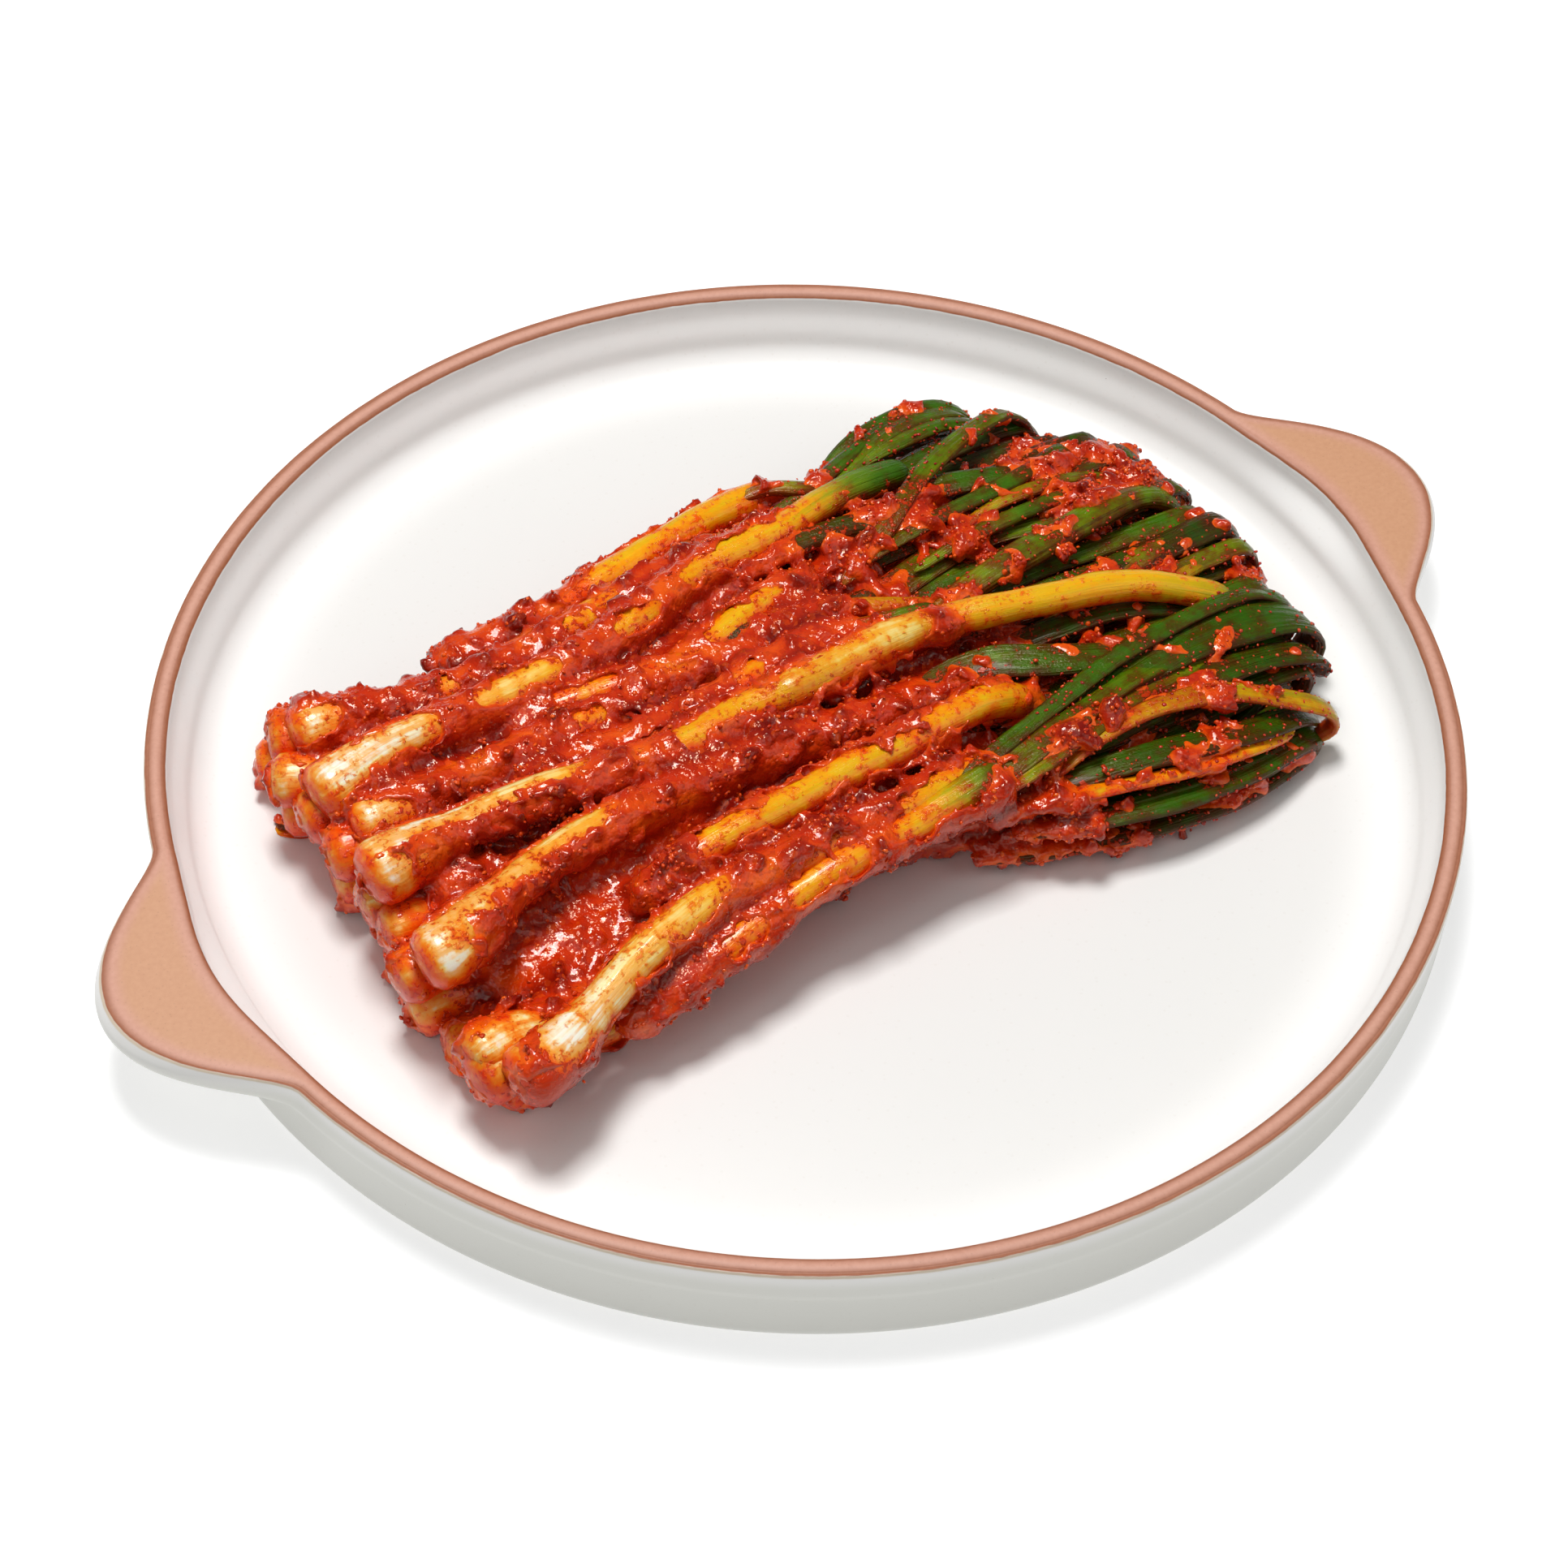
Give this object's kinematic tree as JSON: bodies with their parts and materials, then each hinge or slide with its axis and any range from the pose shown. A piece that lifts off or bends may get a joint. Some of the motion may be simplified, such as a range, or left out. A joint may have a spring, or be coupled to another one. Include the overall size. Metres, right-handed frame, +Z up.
{
  "type": "scallion kimchi on a tray",
  "caption": "Bundle of whole scallions coated in wet chilli paste, lying on a round shallow stoneware tray with two lug handles.",
  "frame": {"origin": "on the table under the middle of the tray's base", "axes": "+X through the two lug handles, from the root ends of the scallions to their folded leaves; +Z up, out of the tray's mouth"},
  "size_m": [0.3232, 0.28, 0.0409],
  "materials": {
    "glazed_stoneware": "warm off-white satin glaze, bare terracotta on the rim band and lug tops",
    "chilli_coated_scallion": "wet glossy brick-red chilli paste over white, yellow and green scallion"
  },
  "bodies": {
    "root": {"tray": "glazed_stoneware", "scallion_bundle": "chilli_coated_scallion"}
  },
  "joints": []
}
